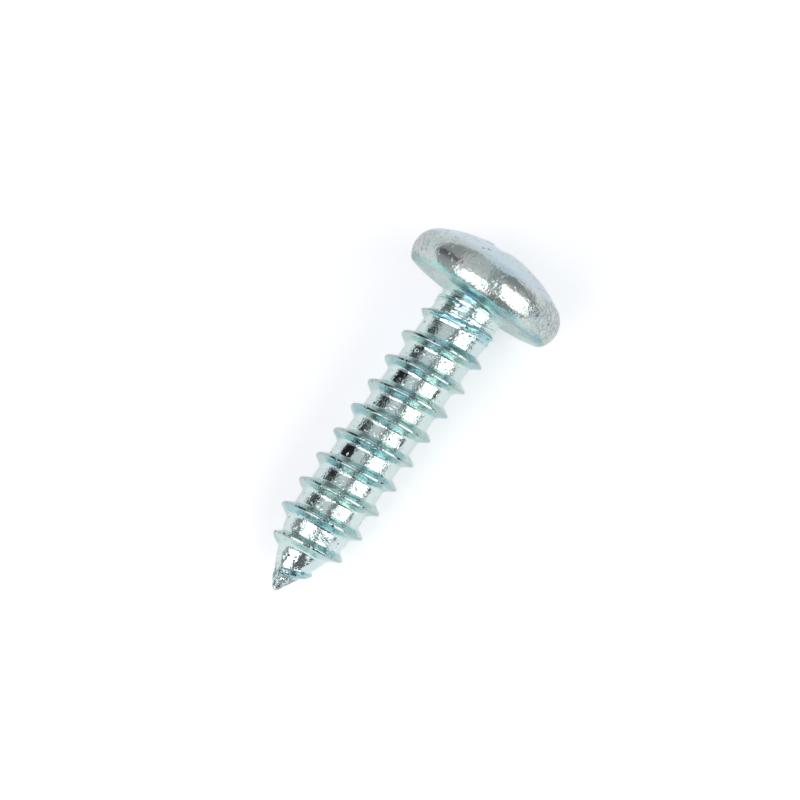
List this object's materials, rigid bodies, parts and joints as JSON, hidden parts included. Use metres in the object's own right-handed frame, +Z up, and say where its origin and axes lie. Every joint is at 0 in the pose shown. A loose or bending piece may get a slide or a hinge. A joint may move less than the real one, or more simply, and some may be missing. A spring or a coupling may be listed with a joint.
{
  "type": "sheet metal screw",
  "caption": "Pan head sheet metal screw with a cross recess, a coarse right-hand thread and a sharp self-starting point.",
  "frame": {"origin": "on the surface that the screw lies on, below the middle of its bounding box", "axes": "+X from the point toward the head along the surface, +Z up; the screw's own axis is in the XZ plane and leans point down, as the screw lies at rest"},
  "size_m": [0.0217, 0.009, 0.009],
  "materials": {
    "zinc_plate": "satin"
  },
  "bodies": {
    "root": {"screw": "zinc_plate"}
  },
  "joints": []
}
